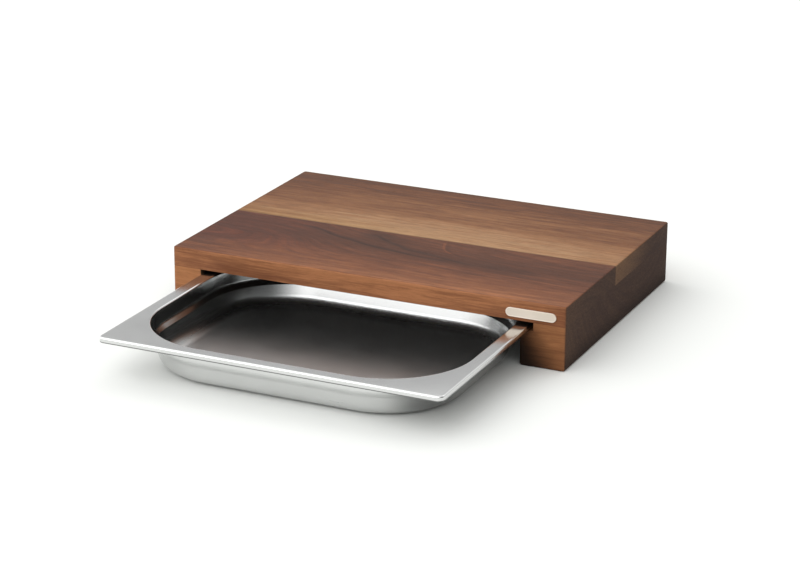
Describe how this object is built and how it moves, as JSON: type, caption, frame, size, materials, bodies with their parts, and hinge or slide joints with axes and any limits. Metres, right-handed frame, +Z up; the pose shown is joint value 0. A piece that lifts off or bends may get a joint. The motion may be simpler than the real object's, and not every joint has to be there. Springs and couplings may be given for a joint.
{
  "type": "cutting board with drawer",
  "caption": "Walnut cutting board glued from planks on two grooved leg blocks, with a shallow stainless tray that slides out of the grooves as a drawer, and a blank name plate.",
  "frame": {"origin": "middle of the footprint of the whole object with the tray pulled out as pictured, on the surface it stands on", "axes": "+X to the right along the board's width and the wood's grain, +Y from the tray's front towards the board's back, +Z up"},
  "size_m": [0.39, 0.4584, 0.06],
  "materials": {
    "walnut_front_plank": "oiled, satin, dark purplish heartwood with a lighter warm front edge",
    "walnut_back_plank": "oiled, satin, light sapwood along the glue line darkening towards the back",
    "walnut_leg_blocks": "oiled, satin, warm brown",
    "stainless_tray": "satin polished stainless sheet",
    "name_plate_metal": "polished, blank"
  },
  "bodies": {
    "board": {"top_plank_front": "walnut_front_plank", "top_plank_back": "walnut_back_plank", "leg_left_front_stave": "walnut_leg_blocks", "leg_left_rear_stave": "walnut_leg_blocks", "leg_right_front_stave": "walnut_leg_blocks", "leg_right_rear_stave": "walnut_leg_blocks", "name_plate": "name_plate_metal"},
    "tray": {"tray": "stainless_tray"}
  },
  "joints": [
    {"name": "tray_slide", "type": "slide", "parent": "board", "child": "tray", "axis": [0, -1, 0], "range_m": [-0.188, 0.08]}
  ]
}
